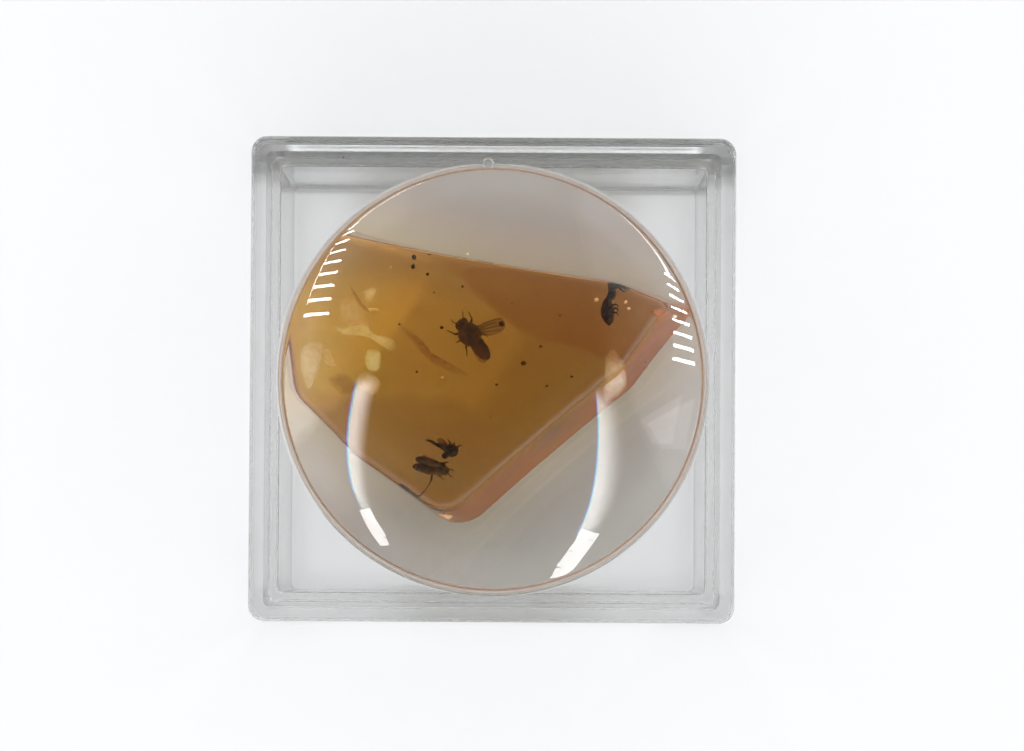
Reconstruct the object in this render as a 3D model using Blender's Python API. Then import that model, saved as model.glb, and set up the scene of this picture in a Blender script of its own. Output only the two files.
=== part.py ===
"""Four small insects in a polished slab of amber, kept in a clear square box with a magnifying lid.

Metres, +Z up. The origin is the middle of the box's underside, and +Y is towards the amber's long straight side.
The lid is a friction fit over the base's rim. The amber is one stone: it is parted at the insects' height, so
that each insect lies in a pocket of its own.
"""

import math

import bmesh
import bpy
import numpy as np
from mathutils import Vector

MM = 0.001
GAP = 0.3 * MM  # clearance between pieces that touch

# Box
SIDE = 30.0 * MM  # outside width of the lid, and of the base below its ledge
LID_TOP = 21.0 * MM  # height of the lid's flat top
LEDGE = 13.0 * MM  # height of the base's ledge, just under the lid's skirt
CORNER = 1.0 * MM  # radius of the upright outside corners
EDGE = 0.3 * MM  # bevel along the outside edges
RIM_EDGE = 0.15 * MM  # bevel along the thin rims
COVE = 0.5 * MM  # bevel where the floor meets the walls
FLOOR = 1.2 * MM  # thickness of the base's floor
PLATE = 1.4 * MM  # thickness of the lid's top
LID_WALL = 0.9 * MM
RIM_WALL = 0.6 * MM
CORNER_STEPS = 4

# Lens on the lid: a spherical cap with a steep rounded shoulder, filleted into the lid at its foot
LENS_SPHERE = 22.0 * MM  # radius of the sphere
LENS_CAP = 12.85 * MM  # distance from the axis where the sphere ends
SHOULDER = 0.8 * MM  # radius of the shoulder
FILLET = 0.3 * MM  # radius of the hollow at the foot
FLANK = math.radians(72)  # steepest slope, between shoulder and hollow
FOOT_SLOPE = math.radians(12)  # slope where the hollow runs into the lid
LENS_ROOT = 0.6 * MM  # how deep the lens reaches into the lid's top
LENS_SIDES = 56
GATE_RADIUS = 0.35 * MM  # stub that the moulding gate leaves at the lens's foot
GATE_HEIGHT = 0.35 * MM
GATE_AT = (-0.35 * MM, 13.35 * MM)

# Amber slab, lying on the floor of the box
AMBER_THICK = 3.2 * MM
AMBER_FOOT = FLOOR + GAP
FOOT_ROUND = 0.4 * MM  # rounding of the lower edge
TOP_ROUND = 0.5 * MM  # rounding of the upper edge
CROWN = 0.12 * MM  # how far the middle of the top stands above its edge
PARTING = 0.2 * MM  # width of the cut between the two halves
POCKET = 0.15 * MM  # clearance round a sealed insect
AMBER_STEPS = 4
# The slab's sides at its foot, anticlockwise: the corner where each side starts and its rounding, then how far
# the side leans out at the top, all in mm
AMBER_SIDES = (
    ((-5.95, 4.99), 0.80, 1.00),
    ((-5.52, 0.25), 1.20, 0.85),
    ((-3.75, -1.68), 2.00, 0.75),
    ((-0.88, -3.74), 1.10, -0.25),
    ((3.90, 0.37), 1.50, 0.00),
    ((5.38, 2.60), 0.25, 0.55),
    ((3.40, 3.50), 3.00, 0.40),
)

# Insects, in mm in their own frames: +X towards the head, +Z towards the back
INSECT_HEIGHT = AMBER_FOOT + AMBER_THICK / 2
LEG = 0.028  # half thickness of a leg
FEELER = 0.018  # half thickness of an antenna
WING = 0.045  # thickness of a wing
LIMB_SIDES = 5
BODY_SIDES = 12
BODY_RINGS = 8

CLEAR_PLASTIC = (0.93, 0.95, 0.96, 1.0)
HONEY = (0.62, 0.34, 0.05, 1.0)
DARK_BROWN = (0.045, 0.022, 0.010, 1.0)
BLACK = (0.012, 0.010, 0.009, 1.0)


def clear_scene():
    for obj in list(bpy.data.objects):
        bpy.data.objects.remove(obj)


def material(name, colour, roughness, transmission=0.0, ior=1.5):
    made = bpy.data.materials.new(name)
    made.use_nodes = True
    made.diffuse_color = colour
    shader = made.node_tree.nodes["Principled BSDF"]
    shader.inputs["Base Color"].default_value = colour
    shader.inputs["Roughness"].default_value = roughness
    shader.inputs["Metallic"].default_value = 0.0
    shader.inputs["Transmission Weight"].default_value = transmission
    shader.inputs["IOR"].default_value = ior
    return made


def object_from(name, bm, finish=None, smooth_below=35):
    """The mesh as a named object, smooth except across edges sharper than the angle in degrees."""
    mesh = bpy.data.meshes.new(name)
    bmesh.ops.recalc_face_normals(bm, faces=bm.faces)
    bm.to_mesh(mesh)
    bm.free()
    mesh.shade_smooth()
    mesh.set_sharp_from_angle(angle=math.radians(smooth_below))
    obj = bpy.data.objects.new(name, mesh)
    bpy.context.scene.collection.objects.link(obj)
    if finish:
        mesh.materials.append(finish)
    return obj


def as_helper(obj):
    """Marks an object that only shapes another one."""
    obj.hide_render = True
    obj.display_type = "WIRE"
    return obj


def combine(target, helper, operation):
    modifier = target.modifiers.new(helper.name, "BOOLEAN")
    modifier.operation = operation
    modifier.solver = "EXACT"
    modifier.object = as_helper(helper)


def loft(rings):
    """A closed mesh through rings of points. A ring of one point is a pole."""
    bm = bmesh.new()
    made = [[bm.verts.new(point) for point in ring] for ring in rings]
    for lower, upper in zip(made, made[1:]):
        count = max(len(lower), len(upper))
        for i in range(count):
            corners = (lower[i % len(lower)], lower[(i + 1) % len(lower)])
            corners += (upper[(i + 1) % len(upper)], upper[i % len(upper)])
            bm.faces.new(tuple(dict.fromkeys(corners)))
    for end in (made[0], made[-1]):
        if len(end) > 2:
            bm.faces.new(end)
    return bm


def rounded_square(half, radius, height):
    """A square ring with round corners, centred on the Z axis."""
    ring = []
    for quarter in range(4):
        middle = math.radians(45 + 90 * quarter)
        x = math.copysign(half - radius, math.cos(middle))
        y = math.copysign(half - radius, math.sin(middle))
        for step in range(CORNER_STEPS + 1):
            angle = math.radians(90 * (quarter + step / CORNER_STEPS))
            ring.append((x + radius * math.cos(angle), y + radius * math.sin(angle), height))
    return ring


def make_base(finish):
    outer = SIDE / 2
    rim_outer = outer - LID_WALL - GAP
    inner = rim_outer - RIM_WALL
    rim_top = LID_TOP - PLATE - GAP
    rim_corner = CORNER - LID_WALL + GAP
    profile = (
        (outer - EDGE, CORNER - EDGE, 0),
        (outer, CORNER, EDGE),
        (outer, CORNER, LEDGE - RIM_EDGE),
        (outer - RIM_EDGE, CORNER - RIM_EDGE, LEDGE),
        (rim_outer, rim_corner, LEDGE),
        (rim_outer, rim_corner, rim_top - RIM_EDGE),
        (rim_outer - RIM_EDGE, rim_corner, rim_top),
        (inner + RIM_EDGE, rim_corner, rim_top),
        (inner, rim_corner, rim_top - RIM_EDGE),
        (inner, rim_corner, FLOOR + COVE),
        (inner - COVE, rim_corner, FLOOR),
    )
    return object_from("box_base", loft([rounded_square(*level) for level in profile]), finish)


def lens_profile():
    """Half of the lens's section, from the top of its axis down its outside and back to the axis."""
    cap_slope = math.asin(LENS_CAP / LENS_SPHERE)
    shoulder_height = SHOULDER * (math.cos(cap_slope) - math.cos(FLANK))
    cap_height = LID_TOP + shoulder_height + FILLET * (1 - math.cos(FLANK))
    sphere_centre = cap_height - LENS_SPHERE * math.cos(cap_slope)
    shoulder_r = LENS_CAP - SHOULDER * math.sin(cap_slope)
    shoulder_z = cap_height - SHOULDER * math.cos(cap_slope)
    hollow_r = shoulder_r + (SHOULDER + FILLET) * math.sin(FLANK)
    hollow_z = shoulder_z + (SHOULDER + FILLET) * math.cos(FLANK)

    def arc(r, z, radius, first, last, steps):
        slopes = np.linspace(first, last, steps + 1)
        return [(r + radius * math.sin(s), z + radius * math.cos(s)) for s in slopes]

    points = arc(0, sphere_centre, LENS_SPHERE, 0, cap_slope, 8)
    points += arc(shoulder_r, shoulder_z, SHOULDER, cap_slope, FLANK, 3)[1:]
    points += arc(hollow_r, hollow_z, -FILLET, FLANK, FOOT_SLOPE, 2)[1:]
    root = LID_TOP - LENS_ROOT
    return points + [(points[-1][0], root), (0, root)]


def turned(name, profile, sides):
    """A solid of revolution about Z, from its half section."""
    bm = bmesh.new()
    verts = [bm.verts.new((r, 0, z)) for r, z in profile]
    for pair in zip(verts, verts[1:]):
        bm.edges.new(pair)
    obj = object_from(name, bm)
    screw = obj.modifiers.new("turn", "SCREW")
    screw.steps = screw.render_steps = sides
    screw.use_merge_vertices = True
    screw.merge_threshold = 1e-7
    return obj


def make_lid(finish):
    outer = SIDE / 2
    inner = outer - LID_WALL
    inner_corner = CORNER - LID_WALL + GAP
    skirt = LEDGE + GAP
    profile = (
        (outer - EDGE, CORNER - EDGE, LID_TOP),
        (outer, CORNER, LID_TOP - EDGE),
        (outer, CORNER, skirt + RIM_EDGE),
        (outer - RIM_EDGE, CORNER - RIM_EDGE, skirt),
        (inner + RIM_EDGE, inner_corner, skirt),
        (inner, inner_corner, skirt + RIM_EDGE),
        (inner, inner_corner, LID_TOP - PLATE),
    )
    lid = object_from("box_lid", loft([rounded_square(*level) for level in profile]), finish)
    combine(lid, turned("lens", lens_profile(), LENS_SIDES), "UNION")
    top = LID_TOP + GATE_HEIGHT
    stub = [(0, top), (GATE_RADIUS, top), (GATE_RADIUS, LID_TOP - LENS_ROOT), (0, LID_TOP - LENS_ROOT)]
    gate = turned("gate_stub", stub, 10)
    gate.location = (*GATE_AT, 0)
    combine(lid, gate, "UNION")
    return lid


def shifted_corners(offsets):
    """The amber's corners once each of its sides has moved outward by its own offset, in mm."""
    corners = [Vector(side[0]) for side in AMBER_SIDES]
    lines = []
    for i, (start, offset) in enumerate(zip(corners, offsets)):
        along = (corners[(i + 1) % len(corners)] - start).normalized()
        lines.append((start + offset * Vector((along.y, -along.x)), along))
    moved = []
    for i, (point, along) in enumerate(lines):
        before, direction = lines[i - 1]
        reach = (point - before).cross(along) / direction.cross(along)
        moved.append(before + reach * direction)
    return moved


def amber_ring(height, inset):
    """The slab's outline, a height in mm above its foot and an inset in mm from its leaning sides."""
    share = height / (AMBER_THICK / MM)
    corners = shifted_corners([lean * share - inset for _, _, lean in AMBER_SIDES])
    ring = []
    for i, (corner, (_, rounding, _)) in enumerate(zip(corners, AMBER_SIDES)):
        back = (corners[i - 1] - corner).normalized()
        ahead = (corners[(i + 1) % len(corners)] - corner).normalized()
        radius = max(rounding - inset, 0.08)
        half = math.acos(back.dot(ahead)) / 2
        centre = corner + (back + ahead).normalized() * radius / math.sin(half)
        first = corner + back * radius / math.tan(half) - centre
        turn = math.pi - 2 * half
        for step in range(AMBER_STEPS + 1):
            angle = turn * step / AMBER_STEPS
            x = first.x * math.cos(angle) - first.y * math.sin(angle)
            y = first.x * math.sin(angle) + first.y * math.cos(angle)
            ring.append(((centre.x + x) * MM, (centre.y + y) * MM, AMBER_FOOT + height * MM))
    return ring


def rounded_edge(radius):
    """(height, inset) pairs in mm up a quarter-round edge, from the face to the side."""
    angles = [math.radians(angle) for angle in (0, 30, 60, 90)]
    return [(radius * (1 - math.cos(a)), radius * (1 - math.sin(a))) for a in angles]


def drawn_in(ring, share, rise):
    """The ring shrunk towards its own middle, and raised."""
    middle = sum((Vector(point) for point in ring), Vector()) / len(ring)
    return [tuple(middle.lerp(Vector(point), share) + Vector((0, 0, rise))) for point in ring]


def make_amber(finish):
    thick = AMBER_THICK / MM
    foot = [amber_ring(*level) for level in rounded_edge(FOOT_ROUND / MM)]
    shoulder = [amber_ring(thick - h, inset) for h, inset in rounded_edge(TOP_ROUND / MM)]
    below = (thick - PARTING / MM) / 2
    lower = foot + [amber_ring(below, 0)]
    crown = [drawn_in(shoulder[0], 0.75, 0.6 * CROWN), drawn_in(shoulder[0], 0.4, CROWN)]
    upper = [amber_ring(thick - below, 0)] + shoulder[::-1] + crown
    halves = {"amber_lower": lower, "amber_upper": upper}
    return [object_from(name, loft(rings), finish, 50) for name, rings in halves.items()]


def lump(centre, radii):
    """An egg-shaped part of an insect's body. The centre and the three radii are in mm."""
    rings = []
    for step in range(BODY_RINGS + 1):
        polar = math.pi * step / BODY_RINGS
        if step in (0, BODY_RINGS):
            rings.append([(math.cos(polar), 0, 0)])
            continue
        turns = [2 * math.pi * i / BODY_SIDES for i in range(BODY_SIDES)]
        reach = math.sin(polar)
        rings.append([(math.cos(polar), reach * math.cos(t), reach * math.sin(t)) for t in turns])
    return loft([[[c + r * u for c, r, u in zip(centre, radii, point)] for point in ring] for ring in rings])


def taper(spine, halves, sides=LIMB_SIDES, flat=1.0):
    """A limb, or a slim body, along a bent line in mm with a half width at each of its points."""
    points = [Vector(point) for point in spine]
    rings = []
    for i, (point, half) in enumerate(zip(points, halves)):
        along = (points[min(i + 1, len(points) - 1)] - points[max(i - 1, 0)]).normalized()
        across = along.cross(Vector((0, 0, 1))).normalized()
        up = across.cross(along)
        turns = [2 * math.pi * k / sides for k in range(sides)]
        ring = [point + half * (across * math.cos(t) + up * math.sin(t) * flat) for t in turns]
        rings.append(ring)
    return loft(rings)


def wing(root, tip, width, droop=0.0):
    """A thin blunt wing in mm: its front edge is nearly straight, and its rear edge bulges."""
    root, tip = Vector(root), Vector(tip)
    along = tip - root
    across = Vector((0, 0, 1)).cross(along).normalized() * width
    front = [(0.0, 0.12), (0.35, 0.36), (0.75, 0.42), (0.95, 0.34)]
    rear = [(1.03, 0.05), (1.0, -0.3), (0.8, -0.52), (0.45, -0.5), (0.12, -0.22)]
    outline = [root + along * t + across * s - Vector((0, 0, droop * t * t)) for t, s in front + rear]
    thick = Vector((0, 0, WING / 2))
    return loft([[point + side * thick for point in outline] for side in (-1, 1)])


def legs(hips, body_half, reach, sweep):
    """Three pairs of bent legs, in mm. The hips are places along X, and the sweep swings the last pair back."""
    made = []
    for i, hip in enumerate(hips):
        swing = sweep * (i - 1)
        for side in (-1, 1):
            start = (hip, side * 0.6 * body_half, -0.10)
            knee = (hip - 0.6 * swing, side * (body_half + 0.45 * reach), -0.02)
            foot = (hip - 1.5 * swing, side * (body_half + reach), -0.24)
            made.append(taper([start, knee, foot], [1.3 * LEG, LEG, 0.6 * LEG]))
    return made


def make_insect(name, finish, place, heading, tilt, body, parts):
    """The insect as one solid: the first mesh with each other part joined to it."""
    insect = object_from(name, body, finish)
    limbs = [object_from(f"{name}_part_{i}", part) for i, part in enumerate(parts)]
    for piece in [insect, *limbs]:
        piece.location = (place[0] * MM, place[1] * MM, INSECT_HEIGHT)
        piece.rotation_euler = [math.radians(angle) for angle in (*tilt, heading)]
        piece.scale = (MM, MM, MM)
    for limb in limbs:
        combine(insect, limb, "UNION")
    return insect


def make_winged_insect(finish):
    thorax = lump((0.20, 0, 0), (0.40, 0.37, 0.27))
    parts = [
        lump((0.60, 0, 0.0), (0.17, 0.23, 0.18)),
        lump((-0.32, 0, -0.02), (0.50, 0.25, 0.20)),
        wing((0.20, -0.12, 0.18), (-0.24, -1.10, 0.08), 0.50, 0.05),
        wing((0.13, 0.09, 0.235), (-0.78, 0.17, 0.225), 0.34),
        taper([(0.70, 0.10, 0.05), (0.86, 0.20, 0.10), (0.98, 0.18, 0.06)], [FEELER] * 3),
        taper([(0.70, -0.10, 0.05), (0.84, -0.22, 0.08), (0.94, -0.30, 0.02)], [FEELER] * 3),
    ]
    parts += legs((0.41, 0.24, 0.03), 0.31, 0.15, 0.22)
    return make_insect("winged_insect", finish, (-0.70, 1.88), 129, (8, -5), thorax, parts)


def make_curled_insect(finish):
    spine = [(-0.40, 0, -0.05), (-0.30, 0, -0.03), (-0.12, 0.04, 0), (0.08, 0.07, 0.02)]
    spine += [(0.24, 0.07, 0.04), (0.36, 0.02, 0.05), (0.42, -0.07, 0.04), (0.43, -0.14, 0.02)]
    body = taper(spine, [0.04, 0.14, 0.22, 0.21, 0.15, 0.10, 0.075, 0.03], 12, 0.85)
    parts = [
        lump((0.41, -0.05, 0.04), (0.09, 0.12, 0.09)),
        taper([(0.44, -0.12, 0.06), (0.42, -0.22, 0.10), (0.36, -0.28, 0.08)], [FEELER] * 3),
    ]
    for hip in (-0.10, 0.04, 0.16):
        joints = [(hip, -0.08, -0.05), (hip + 0.03, -0.21, 0.0), (hip - 0.07, -0.26, -0.12)]
        parts.append(taper(joints, [1.3 * LEG, LEG, 0.6 * LEG]))
    return make_insect("curled_insect", finish, (3.62, 2.78), 90, (6, 0), body, parts)


def make_small_fly(finish):
    body = lump((0.08, 0, 0.02), (0.22, 0.21, 0.19))
    tail = [(-0.05, 0.0, 0), (-0.25, 0.02, 0), (-0.42, 0.01, -0.02), (-0.62, 0.05, -0.03), (-0.78, 0.03, -0.05)]
    parts = [
        taper(tail, [0.13, 0.09, 0.055, 0.045, 0.02], 8),
        lump((-0.04, -0.24, 0.02), (0.10, 0.10, 0.09)),
        wing((0.02, -0.02, 0.15), (-0.46, 0.16, 0.14), 0.20),
    ]
    for hip, foot in ((0.20, 0.34), (0.10, 0.10), (0.0, -0.14)):
        joints = [(hip, 0.08, -0.08), (hip + 0.3 * (foot - hip), 0.24, -0.04), (foot, 0.33, -0.18)]
        parts.append(taper(joints, [1.2 * LEG, 0.9 * LEG, 0.5 * LEG]))
    return make_insect("small_fly", finish, (-1.47, -1.66), -22, (-8, 4), body, parts)


def make_beetle(finish):
    wing_cases = lump((-0.14, 0, 0.0), (0.46, 0.26, 0.21))
    parts = [
        lump((0.28, 0, -0.01), (0.20, 0.21, 0.17)),
        lump((0.46, 0, -0.02), (0.12, 0.13, 0.11)),
        taper([(0.52, 0.05, 0.0), (0.62, 0.10, 0.04), (0.70, 0.08, 0.02)], [FEELER] * 3),
        taper([(0.52, -0.05, 0.0), (0.63, -0.09, 0.04), (0.72, -0.13, 0.01)], [FEELER] * 3),
        taper([(0.08, -0.15, -0.08), (0.14, -0.36, -0.02), (0.12, -0.60, -0.16)], [1.5 * LEG, LEG, 0.6 * LEG]),
    ]
    parts += legs((0.32, 0.10, -0.12), 0.20, 0.09, 0.12)
    return make_insect("beetle", finish, (-2.02, -2.20), -16, (10, 3), wing_cases, parts)


def pocket_round(insect):
    """A convex pocket that clears the insect all round."""
    bpy.context.view_layer.update()
    shaped = insect.evaluated_get(bpy.context.evaluated_depsgraph_get())
    points = [shaped.matrix_world @ vert.co for vert in shaped.to_mesh().vertices]
    shaped.to_mesh_clear()
    bm = bmesh.new()
    signs = (-1, 1)
    for point in points:
        for x in signs:
            for y in signs:
                for z in signs:
                    bm.verts.new(point + POCKET * Vector((x, y, z)))
    bmesh.ops.convex_hull(bm, input=bm.verts)
    bmesh.ops.delete(bm, geom=[vert for vert in bm.verts if not vert.link_faces], context="VERTS")
    return object_from(f"{insect.name}_pocket", bm)


def main():
    clear_scene()
    plastic = material("clear_plastic", CLEAR_PLASTIC, 0.04, 1.0, 1.59)
    amber = material("amber", HONEY, 0.05, 1.0, 1.54)
    brown_shell = material("brown_insect", DARK_BROWN, 0.45)
    black_shell = material("black_insect", BLACK, 0.35)
    make_base(plastic)
    make_lid(plastic)
    halves = make_amber(amber)
    insects = [
        make_winged_insect(brown_shell),
        make_curled_insect(black_shell),
        make_small_fly(black_shell),
        make_beetle(brown_shell),
    ]
    for insect in insects:
        pocket = pocket_round(insect)
        for half in halves:
            combine(half, pocket, "DIFFERENCE")


main()
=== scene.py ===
"""Looks of the insects in amber: the clear box with its magnifying lid, the polished slab and what it holds.

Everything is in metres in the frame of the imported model. Sizes at the top are in millimetres.
"""

import math
import random

import bmesh
import bpy
import numpy as np
from mathutils import Euler, Matrix, Vector, noise


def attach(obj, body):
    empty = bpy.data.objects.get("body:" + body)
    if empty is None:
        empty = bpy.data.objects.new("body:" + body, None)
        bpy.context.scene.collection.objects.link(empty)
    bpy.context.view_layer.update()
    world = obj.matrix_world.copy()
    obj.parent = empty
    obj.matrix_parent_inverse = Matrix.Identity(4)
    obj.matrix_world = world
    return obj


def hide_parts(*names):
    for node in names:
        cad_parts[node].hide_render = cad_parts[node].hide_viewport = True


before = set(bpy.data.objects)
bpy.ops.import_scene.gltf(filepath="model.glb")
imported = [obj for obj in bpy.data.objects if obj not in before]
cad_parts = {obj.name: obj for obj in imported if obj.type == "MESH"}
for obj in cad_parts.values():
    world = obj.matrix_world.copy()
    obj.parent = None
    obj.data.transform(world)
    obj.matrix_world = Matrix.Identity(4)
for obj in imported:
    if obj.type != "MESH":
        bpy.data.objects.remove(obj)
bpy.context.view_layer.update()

MM = 0.001

# Box
SIDE = 30.0  # outside width
LID_TOP = 21.0  # height of the lid's flat top
LEDGE = 13.0  # height of the base's ledge
GAP = 0.3  # clearance between lid and base
CORNER = 1.0  # radius of the upright corners
EDGE = 0.3  # rounding of the outside edges
RIM_EDGE = 0.15  # rounding of the thin rims
COVE = 0.5  # hollow where the floor meets the walls
FLOOR = 1.2  # thickness of the base's floor
PLATE = 1.4  # thickness of the lid's top
LID_WALL = 0.9
RIM_WALL = 0.6
SUPPORT = 0.04  # width of the flat margin that keeps a rounding's shading off a flat face
CORNER_STEPS = 12
SIDE_STEPS = 52
ROUND_STEPS = 6
RING = 4 * (CORNER_STEPS + SIDE_STEPS)

# Lens
LENS_SPHERE = 22.0
LENS_CAP = 12.85
SHOULDER = 0.8
FILLET = 0.3
FLANK = math.radians(72)
LENS_RINGS = 96
GATE_RADIUS = 0.35
GATE_HEIGHT = 0.35
GATE_AT = (-0.35, 13.35)

# Amber slab
AMBER_THICK = 3.2
AMBER_FOOT = 1.5
FOOT_ROUND = 0.4
TOP_ROUND = 0.5
CROWN = 0.12
AMBER_CORNER_STEPS = 14
AMBER_SPACING = 0.16  # distance between points along a straight side
AMBER_RINGS = 44  # rings across the top face
# The slab's sides at its foot, anticlockwise: the corner where each side starts and its rounding, then how far
# the side leans out at the top
AMBER_SIDES = (
    ((-5.95, 4.99), 0.80, 1.00),
    ((-5.52, 0.25), 1.20, 0.85),
    ((-3.75, -1.68), 2.00, 0.75),
    ((-0.88, -3.74), 1.10, -0.25),
    ((3.90, 0.37), 1.50, 0.00),
    ((5.38, 2.60), 0.25, 0.55),
    ((3.40, 3.50), 3.00, 0.40),
)
# Shallow facets of the top: the direction each falls in, the distance where it starts, and its slope
FACETS = (((-0.97, 0.24), 4.6, 0.06), ((-0.80, -0.60), 3.6, 0.05), ((-0.55, 0.83), 5.9, 0.05), ((0.64, -0.77), 2.6, 0.045))
INSECT_HEIGHT = AMBER_FOOT + AMBER_THICK / 2

# Insects, in mm in their own frames: +X towards the head, +Z towards the back
LEG = 0.028  # half thickness of a leg
FEELER = 0.016  # half thickness of an antenna
HAIR = 0.007
WING = 0.03  # thickness of a wing
LIMB_SIDES = 10
LIMB_STEPS = 4  # steps between the given points of a limb
BODY_SIDES = 28
BODY_RINGS = 26

# Inclusions in the amber, in mm: middle and radius
SPECKS = (
    ((-2.17, 3.91, 3.2), 0.055), ((-2.62, 4.10, 3.0), 0.075), ((-0.35, 4.28, 3.3), 0.050),
    ((-1.05, 3.52, 2.8), 0.040), ((-1.73, 2.25, 3.2), 0.060), ((0.90, 1.16, 2.7), 0.085),
    ((1.48, 1.68, 3.3), 0.045), ((0.04, 0.45, 3.0), 0.045), ((1.67, 0.43, 2.9), 0.040),
    ((-2.53, 0.83, 3.3), 0.040), ((-2.32, 1.70, 2.6), 0.035), ((2.47, 0.73, 3.1), 0.045),
    ((-1.95, 3.30, 2.4), 0.030), ((0.55, 3.05, 3.5), 0.030), ((-3.05, 2.35, 2.9), 0.035),
    ((2.05, 2.60, 2.5), 0.030), ((-0.15, -0.62, 3.4), 0.030), ((-0.72, -2.60, 3.1), 0.035),
)
BUBBLES = (
    ((-2.53, 4.60, 3.9), 0.050), ((-1.74, 0.63, 3.9), 0.040), ((-0.89, 4.58, 3.6), 0.040),
    ((2.97, 3.68, 3.9), 0.045), ((3.33, 3.20, 4.1), 0.070), ((4.23, 3.09, 4.0), 0.045),
    ((4.36, 2.91, 4.1), 0.055), ((4.97, 2.37, 3.9), 0.045), ((5.62, 2.60, 3.9), 0.060),
    ((-0.30, 3.95, 3.4), 0.025), ((1.15, 3.80, 3.2), 0.025), ((-3.30, 4.05, 2.9), 0.030),
    ((5.40, 2.75, 4.0), 0.040), ((0.95, 3.35, 3.6), 0.022), ((-4.05, 2.80, 4.0), 0.030),
)

# Clouds and cracks in the amber, in mm: name, height, tilt, finish and outline. The cracks with the cream, gold and
# bright finishes are coloured as painted glints of the light they catch, and the glint near the slab's foot is a
# painted glint
VEILS = (
    ("cream", 4.28, (0.06, -0.03), "cream", (
        (-6.18, 1.52), (-6.02, 1.74), (-5.64, 1.78), (-5.57, 1.57), (-5.67, 1.02), (-5.75, 0.75), (-5.90, 0.36),
        (-6.00, 0.20), (-6.08, 0.34), (-6.18, 0.91))),
    ("cream_low", 4.05, (0.05, 0.0), "gold", (
        (-5.51, 1.56), (-5.31, 1.49), (-5.19, 1.24), (-5.11, 0.95), (-5.42, 0.98), (-5.59, 1.29))),
    ("streak", 4.24, (0.0, 0.08), "bright", (
        (-5.28, 2.22), (-4.75, 2.33), (-4.28, 2.37), (-4.03, 2.08), (-3.66, 1.97), (-3.28, 1.81), (-3.36, 1.48),
        (-3.71, 1.64), (-4.03, 1.85), (-4.58, 2.07), (-4.98, 2.01))),
    ("patch", 4.18, (0.08, 0.0), "bright", (
        (-4.22, 1.56), (-3.82, 1.53), (-3.77, 1.21), (-3.84, 0.83), (-4.19, 0.85), (-4.29, 1.25))),
    ("pink", 4.20, (0.05, 0.05), "rosy", (
        (-4.48, 0.76), (-4.13, 0.79), (-3.77, 0.44), (-3.97, 0.02), (-4.45, 0.23), (-4.58, 0.51))),
    ("upper", 4.10, (0.0, 0.1), "gold", ((-4.30, 3.46), (-3.91, 3.58), (-3.89, 3.35), (-4.06, 3.05), (-4.26, 3.12))),
    ("haze", 3.90, (0.05, 0.05), "rosy", (
        (-4.99, 3.11), (-4.62, 3.22), (-4.20, 2.75), (-4.02, 2.17), (-4.64, 2.22), (-5.00, 2.54))),
    ("right", 4.10, (-0.05, 0.05), "rosy", (
        (3.59, -0.12), (4.00, 0.02), (4.30, 0.50), (4.19, 1.24), (3.87, 1.67), (3.62, 1.24), (3.53, 0.58))),
    ("fold", 3.60, (0.1, 0.1), "shadow", (
        (-3.22, 2.44), (-2.71, 2.15), (-2.26, 1.73), (-1.93, 1.28), (-1.41, 1.08), (-0.81, 0.69), (-1.31, 0.75),
        (-1.93, 1.01), (-2.45, 1.47), (-2.90, 1.99))),
    ("crack", 3.90, (0.1, 0.0), "shadow", (
        (-4.70, 3.65), (-4.47, 3.35), (-4.20, 2.88), (-4.01, 2.72), (-4.23, 2.78), (-4.53, 3.22))),
    ("swirl", 3.80, (0.05, 0.1), "shadow", (
        (-5.35, 0.60), (-4.95, 0.78), (-4.62, 0.62), (-4.50, 0.25), (-4.85, 0.05), (-5.15, 0.28))),
    ("glint", 3.30, (0.0, 0.0), "painted_orange_glint", ((-1.83, -3.57), (-1.54, -3.50), (-1.28, -3.68), (-1.44, -3.77))),
)

# Picture
PICTURE = (1024, 751)
PIXELS_PER_MM = 16.2  # at the lid's flat top
BOX_AT = (492.5, 379.3)  # where the picture shows the middle of the lid's flat top, in pixels
CAMERA_DISTANCE = 300.0  # from the middle of the lid's flat top
CAMERA_ELEVATION = math.radians(88)
CAMERA_ROLL = math.radians(0.35)
SENSOR = 36.0

# Colours
WALL_DULLNESS = 0.075
CORNER_DULLNESS = 0.15
FLANK_DULLNESS = 0.42
# Painted shade: the lens's shade on the box's floor, dark at the front and light at the back, then shade on the back
# wall, deeper in the gap between lid and base, and on the middle of the front wall
SHADE_DARK = (0.66, 0.66, 0.625, 1.0)
SHADE_LIGHT = (0.79, 0.785, 0.76, 1.0)
BACK_WALL_SHADE = (0.74, 0.74, 0.73, 1.0)
BACK_GAP_SHADE = (0.60, 0.60, 0.59, 1.0)
FRONT_WALL_SHADE = (0.88, 0.88, 0.87, 1.0)
AMBER_ABSORB = (0.930, 0.686, 0.0, 1.0)
AMBER_DENSITY = 430.0
ZONE_MIDDLE = (1.0, 0.96, 0.88, 1.0)
ZONE_RIGHT = (0.875, 0.83, 0.78, 1.0)
ZONE_BROWN = (0.85, 0.80, 0.86, 1.0)
ZONE_NORTH = (0.84, 0.76, 0.78, 1.0)
ZONE_RED = (0.80, 0.64, 0.62, 1.0)
ZONE_SWIRL = (0.86, 0.77, 0.64, 1.0)
ZONE_SOUTH = (0.90, 0.70, 0.58, 1.0)
ZONE_LEFT = (0.96, 1.0, 0.84, 1.0)
ROUGH_SIDE = (0.95, 1.0, 0.64, 1.0)

# Light, as radiance
SKY_FRONT = (1.15, 1.17, 1.20, 1.0)
SKY_BACK = (0.50, 0.52, 0.55, 1.0)
SKY_OVERHEAD = (0.045, 0.042, 0.040, 1.0)
SKY_LIGHTING = (1.17, 1.185, 1.20, 1.0)
FRONT_LIGHTING = (1.40, 1.415, 1.43, 1.0)
GLOW = 11.0
REACH = 500.0  # distance of the lamps, in mm
SLAT_POWER = 90.0
RAIL_POWER = 60.0
LAMP_POWER = 34.0
HORIZON_FRONT = (2.3, 2.34, 2.40, 1.0)
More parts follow.
